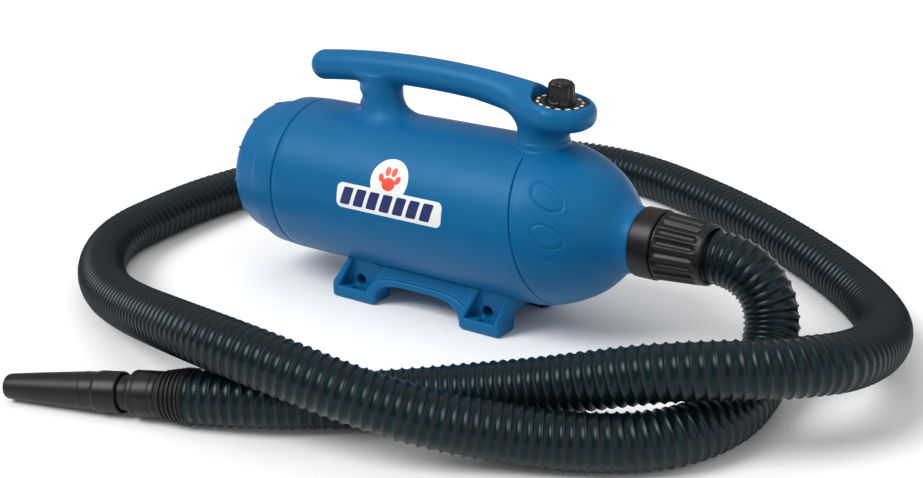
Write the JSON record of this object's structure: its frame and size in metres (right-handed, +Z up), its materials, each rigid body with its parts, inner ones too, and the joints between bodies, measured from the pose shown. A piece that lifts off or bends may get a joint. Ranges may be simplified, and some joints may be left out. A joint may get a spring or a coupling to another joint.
{
  "type": "pet dryer",
  "caption": "Carried force-air pet dryer: tubular blower with a grip handle, speed dial, feet, twist-on coupling, long corrugated hose and a cone nozzle.",
  "frame": {"origin": "centre of the four foot screw holes at floor level", "axes": "+X along the blower from the intake to the outlet, +Z up, +Y to the side away from the label"},
  "size_m": [0.8697, 0.8037, 0.244],
  "materials": {
    "blue_shell": "blue moulded polyethylene, satin",
    "black_gloss": "black moulded ABS, semi-gloss",
    "black_moulding": "black moulded plastic, satin",
    "black_rubber": "black rubber",
    "hose_vinyl": "dark green-black flexible hose, glossy ridges",
    "aluminium": "as pressed",
    "steel": "bright",
    "copper": "enamelled copper",
    "brass": "stamped brass",
    "carbon": "pressed carbon",
    "grey_foam": "open-cell foam",
    "black_inner": "black nylon",
    "board_green": "glass-epoxy board",
    "lead_vinyl": "insulated leads",
    "label_film": "printed film"
  },
  "bodies": {
    "dryer": {"main_housing": "blue_shell", "base_cradle": "blue_shell", "handle": "blue_shell", "rear_cover": "blue_shell", "nose_shell": "blue_shell", "rubber_foot_rear_near": "black_rubber", "rubber_foot_rear_far": "black_rubber", "rubber_foot_front_near": "black_rubber", "rubber_foot_front_far": "black_rubber", "dial_plate": "black_gloss", "speed_potentiometer": "black_inner", "fan_shroud": "aluminium", "diffuser_plate": "aluminium", "rear_motor_mount": "black_rubber", "motor_frame": "steel", "stator_core": "steel", "stator_coils": "copper", "front_bracket": "aluminium", "front_bearing": "steel", "rear_bearing": "steel", "rear_bearing_seat": "aluminium", "brush_holder_near": "brass", "brush_holder_far": "brass", "carbon_brushes": "carbon", "front_motor_mount": "black_rubber", "front_spider": "black_inner", "acoustic_foam": "grey_foam", "control_board": "board_green", "board_standoffs": "black_inner", "heat_sink": "aluminium", "dial_lead": "lead_vinyl", "cord_entry_bush": "black_rubber", "rear_cover_screws": "steel", "nose_screws": "steel", "handle_screws": "steel", "motor_screws": "steel", "side_label": "label_film", "outlet_collar": "black_moulding", "hose": "hose_vinyl", "hose_cuff": "black_moulding", "cuff_ring": "black_moulding"},
    "rotor": {"motor_shaft": "steel", "rotor_core": "steel", "commutator": "copper", "impeller_first": "aluminium", "impeller_second": "aluminium", "impeller_nut": "steel"},
    "speed_knob": {"speed_knob": "black_gloss", "knob_spindle": "steel"},
    "coupling_sleeve": {"coupling_sleeve": "black_moulding"},
    "intake_filter": {"intake_grille": "black_inner", "filter_frame": "black_inner", "foam_filter": "grey_foam"},
    "cone_nozzle": {"cone_nozzle": "black_moulding"}
  },
  "joints": [
    {"name": "knob_turn", "type": "hinge", "parent": "dryer", "child": "speed_knob", "pos_m": [0.1343, 0, 0.221], "axis": [0.1045, 0, 0.9945], "range_deg": [-300, 0]},
    {"name": "rotor_spin", "type": "hinge", "parent": "dryer", "child": "rotor", "pos_m": [0, 0, 0.1046], "axis": [1, 0, 0], "continuous": true},
    {"name": "sleeve_twist", "type": "hinge", "parent": "dryer", "child": "coupling_sleeve", "pos_m": [0.266, 0, 0.1046], "axis": [1, 0, 0], "range_deg": [-45, 0]},
    {"name": "filter_pull", "type": "slide", "parent": "dryer", "child": "intake_filter", "axis": [-1, 0, 0], "range_m": [0, 0.04]},
    {"name": "nozzle_pull", "type": "slide", "parent": "dryer", "child": "cone_nozzle", "axis": [-0.9466, -0.3155, -0.0657], "range_m": [0, 0.05]}
  ]
}
